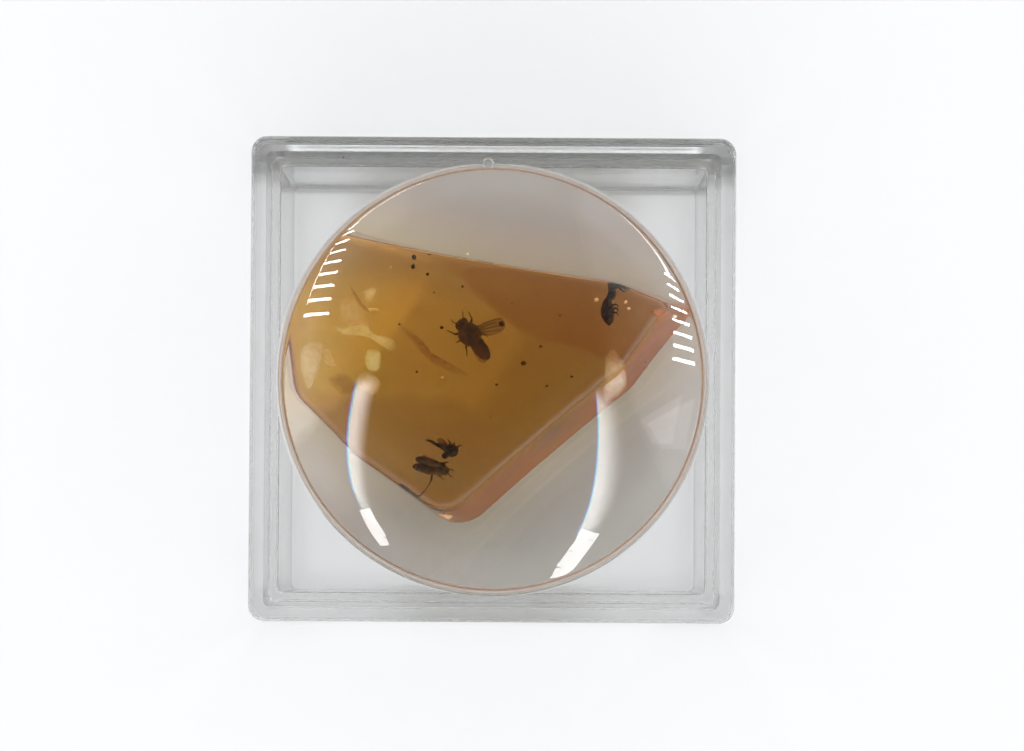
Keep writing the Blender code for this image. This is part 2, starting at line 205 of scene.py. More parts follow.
# Rows of slats beside the box, seen in the rim of the lens. For each side: how many, then for the near and the
# far end the first place along Y, the step along Y, the first height and the step in height, as shares of the
# distance, and the width of the first slat
SLATS = {
    -1: (9, (0.365, 0.088, 0.365, 0.0), (0.430, 0.0965, 0.575, -0.019), 0.019),
    1: (8, (0.115, 0.067, 0.330, -0.002), (0.155, 0.074, 0.505, -0.017), 0.018),
}
# Thin rails beyond and beside the slats, as shares of the distance: side, low end, high end and width
RAILS = (
    (-1, (1.22, 0.400), (3.19, 0.743), 0.011),
    (-1, (0.43, 0.362), (0.90, 0.356), 0.005),
    (1, (0.64, 0.350), (1.62, 0.400), 0.014),
)
# Two bent lamps whose image the lens carries down towards the front: middle and width, in mm
LAMPS = (
    ((-324, -317, 256, 36), (-310, -339, 244, 35), (-293, -361, 232, 38), (-276, -381, 221, 36), (-266, -397, 208, 20)),
    ((250, -372, 262, 56), (238, -389, 250, 55), (209, -418, 227, 49), (177, -447, 196, 50), (158, -466, 165, 40)),
)


# ---------------------------------------------------------------- meshes

def square_ring(half, radius, height):
    """A square ring with round corners, in mm."""
    ring = []
    straight = half - radius
    for quarter in range(4):
        turn = Matrix.Rotation(math.radians(90 * quarter), 2)
        for step in range(CORNER_STEPS + 1):
            angle = math.radians(90) * step / CORNER_STEPS
            ring.append(turn @ Vector((straight + radius * math.cos(angle), straight + radius * math.sin(angle))))
        for step in range(1, SIDE_STEPS):
            ring.append(turn @ Vector((straight * (1 - 2 * step / SIDE_STEPS), half)))
    return [(p.x, p.y, height) for p in ring]


def circle_ring(radius, height):
    """A circle in mm whose points face those of square_ring."""
    per_quarter = CORNER_STEPS + SIDE_STEPS
    start = math.radians(45) - math.radians(45) * CORNER_STEPS / per_quarter
    angles = [start + 2 * math.pi * i / RING for i in range(RING)]
    return [(radius * math.cos(a), radius * math.sin(a), height) for a in angles]


def skin(rings, unit=MM):
    """A closed mesh through rings of points in mm. A ring of one point is a pole."""
    bm = bmesh.new()
    made = [[bm.verts.new(Vector(point) * unit) for point in ring] for ring in rings]
    for lower, upper in zip(made, made[1:]):
        count = max(len(lower), len(upper))
        for i in range(count):
            corners = (lower[i % len(lower)], lower[(i + 1) % len(lower)])
            corners += (upper[(i + 1) % len(upper)], upper[i % len(upper)])
            bm.faces.new(tuple(dict.fromkeys(corners)))
    for end in (made[0], made[-1]):
        if len(end) > 2:
            bm.faces.new(end)
    bmesh.ops.recalc_face_normals(bm, faces=bm.faces)
    return bm


def piece(name, bm, finish, sharp_above=40):
    """The mesh as a named object, smooth except across edges sharper than the angle in degrees."""
    mesh = bpy.data.meshes.new(name)
    bm.to_mesh(mesh)
    bm.free()
    mesh.shade_smooth()
    mesh.set_sharp_from_angle(angle=math.radians(sharp_above))
    mesh.materials.append(finish)
    obj = bpy.data.objects.new(name, mesh)
    bpy.context.scene.collection.objects.link(obj)
    return obj


def apply_modifiers(obj):
    """Makes the modifiers' result the object's own mesh."""
    shaped = obj.evaluated_get(bpy.context.evaluated_depsgraph_get())
    mesh = bpy.data.meshes.new_from_object(shaped)
    obj.modifiers.clear()
    obj.data = mesh


def united(target, others):
    """Joins the other objects to the target as one closed surface."""
    for other in others:
        modifier = target.modifiers.new(other.name, "BOOLEAN")
        modifier.operation = "UNION"
        modifier.solver = "EXACT"
        modifier.object = other
    apply_modifiers(target)
    for other in others:
        bpy.data.objects.remove(other)
    return target


def keep(obj, slot, *nodes):
    """The object rides on the part's one body and stands for the nodes. The slot is not used."""
    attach(obj, "root")
    if nodes:
        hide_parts(*nodes)
    return obj


def quarter(radius, steps=ROUND_STEPS):
    """(across, along) pairs of a quarter round, from where it leaves the face to where it meets the side."""
    angles = [math.radians(90) * i / steps for i in range(steps + 1)]
    return [(radius * (1 - math.sin(a)), radius * (1 - math.cos(a))) for a in angles]


# ---------------------------------------------------------------- materials

def new_material(name):
    made = bpy.data.materials.new(name)
    made.use_nodes = True
    return made, made.node_tree, made.node_tree.nodes["Principled BSDF"]


def add(tree, kind, values=(), **settings):
    """A new node with its settings, and values for its inputs: (input, value) or (input, socket) pairs."""
    node = tree.nodes.new(kind)
    for name, value in settings.items():
        setattr(node, name, value)
    for key, value in values:
        if isinstance(value, bpy.types.NodeSocket):
            tree.links.new(value, node.inputs[key])
        else:
            node.inputs[key].default_value = value
    return node


def math_node(tree, operation, *values):
    return add(tree, "ShaderNodeMath", enumerate(values), operation=operation).outputs[0]


def blend_colours(tree, share, first, second):
    node = add(tree, "ShaderNodeMix", data_type="RGBA")
    for key, value in (("Factor", share), ("A", first), ("B", second)):
        socket = [s for s in node.inputs if s.name == key and s.enabled][0]
        if isinstance(value, bpy.types.NodeSocket):
            tree.links.new(value, socket)
        else:
            socket.default_value = value
    return [s for s in node.outputs if s.enabled][0]


def ramp(tree, value, low, high, smooth=True):
    """0 below low, 1 above high, and a smooth step between them."""
    kind = "SMOOTHSTEP" if smooth else "LINEAR"
    values = (("Value", value), ("From Min", low), ("From Max", high))
    return add(tree, "ShaderNodeMapRange", values, interpolation_type=kind).outputs[0]


def position(tree):
    """Where a point is on the part, in mm, and its X, Y and Z."""
    place = add(tree, "ShaderNodeTexCoord").outputs["Object"]
    place = add(tree, "ShaderNodeVectorMath", ((0, place), ("Scale", 1 / MM)), operation="SCALE").outputs[0]
    axes = add(tree, "ShaderNodeSeparateXYZ", ((0, place),))
    return place, [axes.outputs[i] for i in range(3)]


def noise_node(tree, place, scale, detail=3.0, roughness=0.5):
    values = (("Vector", place), ("Scale", scale), ("Detail", detail), ("Roughness", roughness))
    return add(tree, "ShaderNodeTexNoise", values).outputs["Fac"]


def past_line(tree, x, y, start, end, soft):
    """1 to the left of the line from start to end, in mm, and 0 to its right."""
    along = (Vector(end) - Vector(start)).normalized()
    across = math_node(tree, "SUBTRACT", math_node(tree, "MULTIPLY", y, along.x), math_node(tree, "MULTIPLY", x, along.y))
    return ramp(tree, across, Vector(start).cross(along) * -1 - soft, Vector(start).cross(along) * -1 + soft)


def product(tree, *values):
    whole = values[0]
    for value in values[1:]:
        whole = math_node(tree, "MULTIPLY", whole, value)
    return whole


def painted_daylight_on_floor(tree, x, y):
    """How much painted daylight lightens the painted shade on the box's floor under the lens: a patch on the left, two
    on the right and a wide one under the stone.
    """
    left = product(tree, past_line(tree, x, y, (-4.64, -0.44), (-3.67, 0.94), 0.16), ramp(tree, y, 4.6, 2.4))
    corners = ((4.28, -1.04), (4.75, -1.0), (5.0, 0.33), (4.0, -0.4))
    patch = [past_line(tree, x, y, corner, corners[(i + 1) % 4], 0.05) for i, corner in enumerate(corners)]
    half_lit = product(tree, past_line(tree, x, y, (4.0, -0.6), (4.52, -2.16), 0.08), 0.28)
    under_stone = product(tree, ramp(tree, x, 5.5, -4.5, False), ramp(tree, y, -3.2, -1.6), 0.42)
    lit = math_node(tree, "MAXIMUM", product(tree, *patch, 0.8), math_node(tree, "MAXIMUM", half_lit, under_stone))
    return math_node(tree, "MAXIMUM", lit, left)


def clear_plastic(name, floor=False):
    """Clear polystyrene with walls a little dull, with painted shade on its back wall and on the middle of its front
    wall. With floor, the box's floor gets painted shade of the lens where it lies under it, lightened by patches of
    painted daylight.
    """
    material, tree, shader = new_material(name)
    shader.inputs["Transmission Weight"].default_value = 1.0
    shader.inputs["IOR"].default_value = 1.59
    place, (x, y, z) = position(tree)
    aside = math_node(tree, "ABSOLUTE", x)
    ahead = math_node(tree, "ABSOLUTE", y)
    walls = ramp(tree, math_node(tree, "MAXIMUM", aside, ahead), SIDE / 2 - 2.0, SIDE / 2 - 1.7)
    corners = ramp(tree, math_node(tree, "MINIMUM", aside, ahead), SIDE / 2 - 2.3, SIDE / 2 - 1.5)
    below_top = ramp(tree, z, LID_TOP - 0.05, LID_TOP - 0.25)
    flow = math_node(tree, "ADD", product(tree, ramp(tree, noise_node(tree, place, 0.35, 1.0), 0.2, 0.8), 0.5), 0.5)
    rough = math_node(tree, "ADD", product(tree, flow, WALL_DULLNESS), product(tree, corners, CORNER_DULLNESS))
    rough = product(tree, walls, below_top, rough)
    radius = math_node(tree, "SQRT", math_node(tree, "ADD", product(tree, x, x), product(tree, y, y)))
    colour = (1.0, 1.0, 1.0, 1.0)
    if floor:
        # Painted shade of the lens on the floor under it, darker towards the front, its edge wobbled by noise
        plate = ramp(tree, z, FLOOR + 0.3, FLOOR + 0.1)
        # lit is the share left in painted shade once the patches of painted daylight are taken out
        lit = math_node(tree, "SUBTRACT", 1.0, painted_daylight_on_floor(tree, x, y))
        cloud = product(tree, math_node(tree, "SUBTRACT", noise_node(tree, place, 0.12, 1.0), 0.5), 6.0)
        nearness = ramp(tree, math_node(tree, "ADD", y, cloud), -9.0, 9.0, False)
        shaded = blend_colours(tree, nearness, SHADE_DARK, SHADE_LIGHT)
        colour = blend_colours(tree, product(tree, ramp(tree, radius, 12.8, 10.4), plate, lit), colour, shaded)
        # Painted shade on the floor near the back wall
        near_back = product(tree, ramp(tree, y, 9.5, 12.8), ramp(tree, aside, 11.0, 6.0), plate)
        colour = blend_colours(tree, near_back, colour, SHADE_LIGHT)
    else:
        flank = product(tree, ramp(tree, radius, 12.9, 13.05), ramp(tree, radius, 13.55, 13.4))
        flank = product(tree, flank, ramp(tree, z, LID_TOP, LID_TOP + 0.05), FLANK_DULLNESS)
        rough = math_node(tree, "ADD", rough, flank)
    tree.links.new(rough, shader.inputs["Roughness"])
    # Painted shade on the back wall, deeper in the gap between lid and base, and on the middle of the front wall
    gap = product(tree, ramp(tree, y, 13.70, 13.80), ramp(tree, y, 14.22, 14.12))
    back = blend_colours(tree, gap, BACK_WALL_SHADE, BACK_GAP_SHADE)
    colour = blend_colours(tree, product(tree, ramp(tree, y, 12.7, 13.4), below_top), colour, back)
    front = product(tree, ramp(tree, y, -12.6, -13.3), ramp(tree, aside, 9.0, 3.0), below_top)
    tree.links.new(blend_colours(tree, front, colour, FRONT_WALL_SHADE), shader.inputs["Base Color"])
    return material


def amber_zones(tree, place, x, y):
    """The stone's bands of colour: pale at its left end, red at the upper right, brown below and orange at its foot."""
    drift = noise_node(tree, place, 0.55, 4.0, 0.55)
    drift = math_node(tree, "MULTIPLY", math_node(tree, "SUBTRACT", drift, 0.5), 0.9)

    def beyond(slope, x0, y0, sign, soft):
        """How far a point is past a slanting line through (x0, y0), as a soft step."""
        line = math_node(tree, "ADD", math_node(tree, "MULTIPLY", math_node(tree, "SUBTRACT", x, x0), slope), y0)
        past = math_node(tree, "MULTIPLY", math_node(tree, "SUBTRACT", y, line), sign)
        return math_node(tree, "ADD", past, drift), soft

    def soft_step(lines):
        least = lines[0][0]
        for past, _ in lines[1:]:
            least = math_node(tree, "MINIMUM", least, past)
        return ramp(tree, least, -lines[0][1], lines[0][1])

    red = soft_step([beyond(-0.342, 0.75, 2.2, 1, 0.16), beyond(-0.907, 0.75, 2.2, 1, 0.16)])
    brown = soft_step([beyond(0.0, 0.0, 0.02, -1, 0.25), beyond(-0.62, -0.47, -0.56, -1, 0.25)])
    north = soft_step([beyond(-0.159, 3.4, 2.75, 1, 0.45)])
    right = soft_step([beyond(1.6, 0.3, 0.9, -1, 0.6)])
    colour = blend_colours(tree, right, ZONE_MIDDLE, ZONE_RIGHT)
    left = ramp(tree, math_node(tree, "ADD", x, drift), -2.6, -4.4)
    colour = blend_colours(tree, left, colour, ZONE_LEFT)
    colour = blend_colours(tree, brown, colour, ZONE_BROWN)
    colour = blend_colours(tree, math_node(tree, "MULTIPLY", north, 0.8), colour, ZONE_NORTH)
    colour = blend_colours(tree, red, colour, ZONE_RED)
    south = soft_step([beyond(0.0, 0.0, -3.1, -1, 0.5)])
    colour = blend_colours(tree, south, colour, ZONE_SOUTH)
    swirl = noise_node(tree, place, 1.3, 5.0, 0.62)
    return blend_colours(tree, math_node(tree, "MULTIPLY", ramp(tree, swirl, 0.45, 0.75), 0.5), colour, ZONE_SWIRL)


def amber_resin():
    material, tree, shader = new_material("amber_resin")
    shader.inputs["Transmission Weight"].default_value = 1.0
    shader.inputs["IOR"].default_value = 1.54
    place, (x, y, z) = position(tree)
    normal = add(tree, "ShaderNodeSeparateXYZ", ((0, add(tree, "ShaderNodeNewGeometry").outputs["Normal"]),))
    upright = ramp(tree, math_node(tree, "ABSOLUTE", normal.outputs[2]), 0.75, 0.35)
    facing = math_node(tree, "SUBTRACT", product(tree, normal.outputs[0], 0.65), product(tree, normal.outputs[1], 0.76))
    sawn = product(tree, upright, ramp(tree, facing, 0.45, 0.8))
    grain = ramp(tree, noise_node(tree, place, 2.2, 4.0), 0.2, 0.8)
    side = math_node(tree, "ADD", product(tree, grain, sawn, 0.15), product(tree, sawn, 0.22))
    tree.links.new(math_node(tree, "ADD", side, product(tree, upright, 0.05)), shader.inputs["Roughness"])
    tree.links.new(blend_colours(tree, upright, amber_zones(tree, place, x, y), ROUGH_SIDE), shader.inputs["Base Color"])
    values = (("Color", AMBER_ABSORB), ("Density", AMBER_DENSITY))
    absorb = add(tree, "ShaderNodeVolumeAbsorption", values)
    tree.links.new(absorb.outputs[0], tree.nodes["Material Output"].inputs["Volume"])
    return material


def chitin(name, dark, light, roughness, grain=9.0):
    """An insect's shell: mottled, with fine pits and paler, drier patches."""
    material, tree, shader = new_material(name)
    place, _ = position(tree)
    mottled = ramp(tree, noise_node(tree, place, grain * 0.5, 4.0), 0.35, 0.75)
    tree.links.new(blend_colours(tree, mottled, dark, light), shader.inputs["Base Color"])
    pits = noise_node(tree, place, grain * 4, 3.0)
    tree.links.new(add(tree, "ShaderNodeBump", (("Height", pits), ("Distance", 0.006 * MM))).outputs[0], shader.inputs["Normal"])
    tree.links.new(math_node(tree, "ADD", math_node(tree, "MULTIPLY", mottled, 0.25), roughness), shader.inputs["Roughness"])
    return material


def wing_film():
    """A brown film that lets light through, with darker and paler cloudy patches."""
    material, tree, shader = new_material("wing_film")
    place, _ = position(tree)
    cloudy = ramp(tree, noise_node(tree, place, 2.5, 4.0), 0.3, 0.7)
    tree.links.new(blend_colours(tree, cloudy, (0.10, 0.038, 0.010, 1), (0.22, 0.10, 0.035, 1)), shader.inputs["Base Color"])
    shader.inputs["Roughness"].default_value = 0.35
    tree.links.new(math_node(tree, "ADD", math_node(tree, "MULTIPLY", cloudy, -0.12), 0.36), shader.inputs["Alpha"])
    return material


def bubble_glint_finish():
    """The skin of a bubble or grain in the stone: a patchy cream, a painted glint for the light that it catches."""
    material, tree, shader = new_material("bubble_glint_skin")
    place, _ = position(tree)
    patchy = ramp(tree, noise_node(tree, place, 6.0, 3.0), 0.3, 0.7)
    tree.links.new(blend_colours(tree, patchy, (0.95, 0.85, 0.62, 1), (0.98, 0.95, 0.88, 1)), shader.inputs["Base Color"])
    shader.inputs["Roughness"].default_value = 0.3
    return material


def veil_film(name, first, second, strength):
    """A thin cloud or crack in the stone, or a painted glint in it, which fades towards its edge."""
    material, tree, shader = new_material(name)
    place, _ = position(tree)
    wisps = ramp(tree, noise_node(tree, place, 1.1, 5.0, 0.6), 0.25, 0.7)
    tree.links.new(blend_colours(tree, wisps, first, second), shader.inputs["Base Color"])
    shader.inputs["Roughness"].default_value = 0.4
    edge = add(tree, "ShaderNodeAttribute", attribute_name="edge").outputs["Fac"]
    fade = math_node(tree, "SUBTRACT", 1.0, math_node(tree, "POWER", edge, 3.0))
    alpha = math_node(tree, "MULTIPLY", math_node(tree, "MULTIPLY", fade, strength), math_node(tree, "ADD", math_node(tree, "MULTIPLY", wisps, 0.6), 0.4))
    tree.links.new(alpha, shader.inputs["Alpha"])
    return material


# ---------------------------------------------------------------- box

def lens_rings():
    """Rings from the top of the lens down to where its hollow foot meets the lid's flat top."""
    cap_slope = math.asin(LENS_CAP / LENS_SPHERE)
    shoulder_height = SHOULDER * (math.cos(cap_slope) - math.cos(FLANK))
    cap_height = LID_TOP + shoulder_height + FILLET * (1 - math.cos(FLANK))
    sphere_centre = cap_height - LENS_SPHERE * math.cos(cap_slope)
    shoulder_r = LENS_CAP - SHOULDER * math.sin(cap_slope)
    shoulder_z = cap_height - SHOULDER * math.cos(cap_slope)
    hollow_r = shoulder_r + (SHOULDER + FILLET) * math.sin(FLANK)
    hollow_z = shoulder_z + (SHOULDER + FILLET) * math.cos(FLANK)
    arcs = (
        (0, sphere_centre, LENS_SPHERE, 0, cap_slope, LENS_RINGS),
        (shoulder_r, shoulder_z, SHOULDER, cap_slope, FLANK, 2 * ROUND_STEPS),
        (hollow_r, hollow_z, -FILLET, FLANK, 0, 2 * ROUND_STEPS),
    )
    rings = [[(0, 0, sphere_centre + LENS_SPHERE)]]
    for r, z, radius, first, last, steps in arcs:
        for slope in np.linspace(first, last, steps + 1)[1:]:
            rings.append(circle_ring(r + radius * math.sin(slope), z + radius * math.cos(slope)))
    return rings


def make_lid(finish):
    outer = SIDE / 2
    inner = outer - LID_WALL
    inner_corner = CORNER - LID_WALL + GAP
    skirt = LEDGE + GAP
    under = LID_TOP - PLATE
    rings = lens_rings()
    foot = math.hypot(*rings[-1][0][:2])
    rings.append(circle_ring(foot + SUPPORT, LID_TOP))
    rings.append(square_ring(outer - EDGE - SUPPORT, CORNER - EDGE, LID_TOP))
    rings += [square_ring(outer - a, CORNER - a, LID_TOP - b) for a, b in quarter(EDGE)]
    rings.append(square_ring(outer, CORNER, LID_TOP - EDGE - SUPPORT))
    rings.append(square_ring(outer, CORNER, skirt + RIM_EDGE + SUPPORT))
    rings += [square_ring(outer - a, CORNER - a, skirt + b) for a, b in quarter(RIM_EDGE)[::-1]]
    rings += [square_ring(inner + a, inner_corner, skirt + b) for a, b in quarter(RIM_EDGE)]
    rings.append(square_ring(inner, inner_corner, skirt + RIM_EDGE + SUPPORT))
    rings.append(square_ring(inner, inner_corner, under - SUPPORT))
    rings.append(square_ring(inner, inner_corner, under))
    rings.append(square_ring(inner - SUPPORT, inner_corner, under))
    rings.append([(0, 0, under)])
    lid = piece("magnifier_lid", skin(rings), finish)
    stub = [[(*GATE_AT, LID_TOP - 0.3)]]
    for radius, height in ((0.90, -0.3), (0.95, 0.6 * GATE_HEIGHT), (0.88, 0.85 * GATE_HEIGHT), (0.70, GATE_HEIGHT), (0.35, 0.93 * GATE_HEIGHT)):
        turns = [2 * math.pi * i / 40 for i in range(40)]
        reach = radius * GATE_RADIUS
        stub.append([(GATE_AT[0] + reach * math.cos(t), GATE_AT[1] + reach * math.sin(t), LID_TOP + height) for t in turns])
    stub.append([(*GATE_AT, LID_TOP + 0.9 * GATE_HEIGHT)])
    united(lid, [piece("gate_stub", skin(stub), finish)])
    lid.data.shade_smooth()
    lid.data.set_sharp_from_angle(angle=math.radians(40))
    return lid


def make_base(finish):
    outer = SIDE / 2
    rim_outer = outer - LID_WALL - GAP
    inner = rim_outer - RIM_WALL
    rim_top = LID_TOP - PLATE - GAP
    corner = CORNER - LID_WALL + GAP
    rings = [[(0, 0, 0)], square_ring(outer - EDGE - SUPPORT, CORNER - EDGE, 0)]
    rings += [square_ring(outer - a, CORNER - a, b) for a, b in quarter(EDGE)]
    rings.append(square_ring(outer, CORNER, EDGE + SUPPORT))
    rings.append(square_ring(outer, CORNER, LEDGE - RIM_EDGE - SUPPORT))
    rings += [square_ring(outer - a, CORNER - a, LEDGE - b) for a, b in quarter(RIM_EDGE)[::-1]]
    rings.append(square_ring(rim_outer + SUPPORT, corner, LEDGE))
    rings.append(square_ring(rim_outer, corner, LEDGE))
    rings.append(square_ring(rim_outer, corner, LEDGE + SUPPORT))
    rings.append(square_ring(rim_outer, corner, rim_top - RIM_EDGE - SUPPORT))
    rings += [square_ring(rim_outer - a, corner, rim_top - b) for a, b in quarter(RIM_EDGE)[::-1]]
    rings += [square_ring(inner + a, corner, rim_top - b) for a, b in quarter(RIM_EDGE)]
    rings.append(square_ring(inner, corner, rim_top - RIM_EDGE - SUPPORT))
    rings.append(square_ring(inner, corner, FLOOR + COVE + SUPPORT))
    rings += [square_ring(inner - COVE + a, corner, FLOOR + b) for a, b in cove_steps()]
    rings.append(square_ring(inner - COVE - SUPPORT, corner, FLOOR))
    rings.append([(0, 0, FLOOR)])
    return piece("box_bottom", skin(rings), finish)


def cove_steps():
    """(across, up) pairs down the hollow from the wall to the floor."""
    angles = [math.radians(90) * i / ROUND_STEPS for i in range(ROUND_STEPS + 1)]
    return [(COVE * math.cos(a), COVE * (1 - math.sin(a))) for a in angles]


# ---------------------------------------------------------------- amber

def shifted_corners(offsets):
    """The amber's corners once each of its sides has moved outward by its own offset."""
    corners = [Vector(side[0]) for side in AMBER_SIDES]
    lines = []
    for i, (start, offset) in enumerate(zip(corners, offsets)):
        along = (corners[(i + 1) % len(corners)] - start).normalized()
        lines.append((start + offset * Vector((along.y, -along.x)), along))
    moved = []
    for i, (point, along) in enumerate(lines):
        before, direction = lines[i - 1]
        reach = (point - before).cross(along) / direction.cross(along)
        moved.append(before + reach * direction)
    return moved


def side_counts():
    """How many points each straight side is divided by."""
    corners = [Vector(side[0]) for side in AMBER_SIDES]
    return [max(2, round((corners[(i + 1) % len(corners)] - c).length / AMBER_SPACING)) for i, c in enumerate(corners)]


def amber_ring(height, inset):
    """The slab's outline, a height above its foot and an inset from its leaning sides."""
    share = float(height) / AMBER_THICK
    corners = shifted_corners([lean * share - inset for _, _, lean in AMBER_SIDES])
    arcs = []
    for i, (corner, (_, rounding, _)) in enumerate(zip(corners, AMBER_SIDES)):
        back = (corners[i - 1] - corner).normalized()
        ahead = (corners[(i + 1) % len(corners)] - corner).normalized()
        radius = max(rounding - inset, 0.08)
        half = math.acos(back.dot(ahead)) / 2
        centre = corner + (back + ahead).normalized() * radius / math.sin(half)
        first = corner + back * radius / math.tan(half) - centre
        turn = math.pi - 2 * half
        steps = [turn * step / AMBER_CORNER_STEPS for step in range(AMBER_CORNER_STEPS + 1)]
        arcs.append([centre + Matrix.Rotation(-angle, 2).inverted() @ first for angle in steps])
    ring = []
    for i, (arc, count) in enumerate(zip(arcs, side_counts())):
        following = arcs[(i + 1) % len(arcs)][0]
        ring += arc + [arc[-1].lerp(following, step / count) for step in range(1, count)]
    return [(p.x, p.y, AMBER_FOOT + height) for p in ring]


def drawn_in(ring, share, rise):
    middle = sum((Vector(point) for point in ring), Vector()) / len(ring)
    return [tuple(middle.lerp(Vector(point), share) + Vector((0, 0, rise))) for point in ring]


def worn(point):
    """The point after polishing by hand: the top waves a little, and its left end has shallow facets."""
    x, y, z = point
    share = min(1.0, max(0.0, (z - AMBER_FOOT - AMBER_THICK + TOP_ROUND) / TOP_ROUND))
    if share == 0.0:
        return point
    wave = 0.020 * noise.noise(Vector((0.55 * x, 0.55 * y, 4.0))) + 0.006 * noise.noise(Vector((1.6 * x, 1.6 * y, 9.0)))
    cut = 0.0
    for (nx, ny), reach, slope in FACETS:
        cut = max(cut, slope * (x * nx + y * ny - reach))
    return (x, y, z + share * (wave - cut))


def make_amber(finish):
    foot_round = [amber_ring(b, a) for a, b in quarter(FOOT_ROUND)]
    top_round = [amber_ring(AMBER_THICK - b, a) for a, b in quarter(TOP_ROUND)][::-1]
    shares = [1 - i / AMBER_RINGS for i in range(1, AMBER_RINGS)]
    under = [drawn_in(foot_round[0], share, 0) for share in shares[::-1]]
    sides = [amber_ring(height, 0) for height in np.linspace(FOOT_ROUND, AMBER_THICK - TOP_ROUND, 14)[1:-1]]
    crown = [drawn_in(top_round[-1], share, CROWN * (1 - share * share)) for share in shares]
    rings = [drawn_in(under[0], 0, 0)[:1]] + under + foot_round + sides + top_round + crown
    rings.append(drawn_in(crown[-1], 0, 0)[:1])
    rings = [[worn(point) for point in ring] for ring in rings]
    return piece("amber_slab", skin(rings), finish, 60)


# ---------------------------------------------------------------- insects

def lump(centre, radii, grooves=0, depth=0.07):
    """An egg-shaped part of a body in mm. Grooves part it into segments along X."""
    rings = []
    for step in range(BODY_RINGS + 1):
        share = step / BODY_RINGS
        polar = math.pi * share
        if step in (0, BODY_RINGS):
            rings.append([(math.cos(polar), 0, 0)])
            continue
        pinch = 1 - depth * max(0.0, math.cos(2 * math.pi * grooves * share)) ** 6 if grooves else 1
        reach = math.sin(polar) * pinch
        turns = [2 * math.pi * i / BODY_SIDES for i in range(BODY_SIDES)]
        rings.append([(math.cos(polar), reach * math.cos(t), reach * math.sin(t)) for t in turns])
    return skin([[[c + r * u for c, r, u in zip(centre, radii, point)] for point in ring] for ring in rings], 1.0)


def smooth_line(values):
    """Values along a line, with a smooth curve through them in place of each straight stretch."""
    values = [Vector(value) for value in values]
    smooth = []
    for i in range(len(values) - 1):
        before = values[max(i - 1, 0)]
        a, b = values[i], values[i + 1]
        after = values[min(i + 2, len(values) - 1)]
        for step in range(LIMB_STEPS):
            t = step / LIMB_STEPS
            smooth.append(0.5 * (2 * a + (b - before) * t + (2 * before - 5 * a + 4 * b - after) * t ** 2
                                 + (3 * a - before - 3 * b + after) * t ** 3))
    return smooth + [values[-1]]


def taper(spine, halves, sides=LIMB_SIDES, flat=1.0):
    """A limb, or a slim body, along a bent line in mm with a half width at each of its points."""
    line = smooth_line([(*point, half) for point, half in zip(spine, halves)])
    points = [Vector(value[:3]) for value in line]
    rings = []
    for i, value in enumerate(line):
        along = (points[min(i + 1, len(points) - 1)] - points[max(i - 1, 0)]).normalized()
        across = along.cross(Vector((0, 0, 1))).normalized()
        up = across.cross(along)
        turns = [2 * math.pi * k / sides for k in range(sides)]
        rings.append([points[i] + value[3] * (across * math.cos(t) + up * math.sin(t) * flat) for t in turns])
    return skin([[points[0] - (points[1] - points[0]).normalized() * halves[0] * 0.5]] + rings
                + [[points[-1] + (points[-1] - points[-2]).normalized() * halves[-1] * 0.5]], 1.0)


def wing_frame(root, tip, width, droop):
    """A function from (share of the length, share of the width) to a point on the wing."""
    root, tip = Vector(root), Vector(tip)
    along = tip - root
    across = Vector((0, 0, 1)).cross(along).normalized() * width
    return lambda t, s: root + along * t + across * s - Vector((0, 0, droop * t * t - 0.015 * math.sin(9 * s)))


WING_OUTLINE = ((0.0, 0.02), (0.03, 0.12), (0.35, 0.36), (0.75, 0.42), (0.95, 0.34), (1.03, 0.05), (1.0, -0.3),
                (0.8, -0.52), (0.45, -0.5), (0.12, -0.22))
WING_VEINS = (
    ((0.02, 0.10), (0.35, 0.34), (0.75, 0.40), (0.96, 0.30)),
    ((0.05, 0.05), (0.40, 0.18), (0.72, 0.22), (0.98, 0.12)),
    ((0.05, 0.0), (0.40, 0.0), (0.70, -0.03), (1.00, -0.12)),
    ((0.05, -0.04), (0.35, -0.18), (0.62, -0.28), (0.90, -0.42)),
    ((0.05, -0.08), (0.25, -0.24), (0.42, -0.38), (0.58, -0.50)),
)


def wing(frame_at):
    """The wing's film: thickest in the middle, thin at its rim."""
    outline = smooth_line([(t, s, 0) for t, s in WING_OUTLINE + WING_OUTLINE[:1]])[:-1]
    middle = Vector((0.5, -0.05, 0))
    shares = [i / 6 for i in range(1, 7)]
    rings = []
    for side, order in ((1, shares), (-1, shares[:-1][::-1])):
        for share in order:
            thick = Vector((0, 0, side * WING / 2 * (1 - 0.9 * share)))
            rings.append([frame_at(*middle.lerp(p, share)[:2]) + thick for p in outline])
    ends = [[frame_at(*middle[:2]) + Vector((0, 0, side * WING / 2))] for side in (1, -1)]
    return skin(ends[:1] + rings + ends[1:], 1.0)


def veins(frame_at, thick=0.016):
    return [taper([frame_at(t, s) for t, s in vein], [thick, thick, 0.8 * thick, 0.5 * thick], 8) for vein in WING_VEINS]


def legs(hips, body_half, reach, sweep):
    """Three pairs of jointed legs, in mm. The hips are places along X, and the sweep swings the last pair back."""
    made = []
    for i, hip in enumerate(hips):
        swing = sweep * (i - 1)
        for side in (-1, 1):
            start = (hip, side * 0.6 * body_half, -0.10)
            thigh = (hip - 0.35 * swing, side * (body_half + 0.20 * reach), -0.04)
            knee = (hip - 0.6 * swing, side * (body_half + 0.45 * reach), -0.02)
            shin = (hip - 1.1 * swing, side * (body_half + 0.75 * reach), -0.13)
            foot = (hip - 1.5 * swing, side * (body_half + reach), -0.24)
            made.append(taper([start, thigh, knee, shin, foot], [1.2 * LEG, 1.35 * LEG, 0.8 * LEG, 0.7 * LEG, 0.45 * LEG]))
    return made


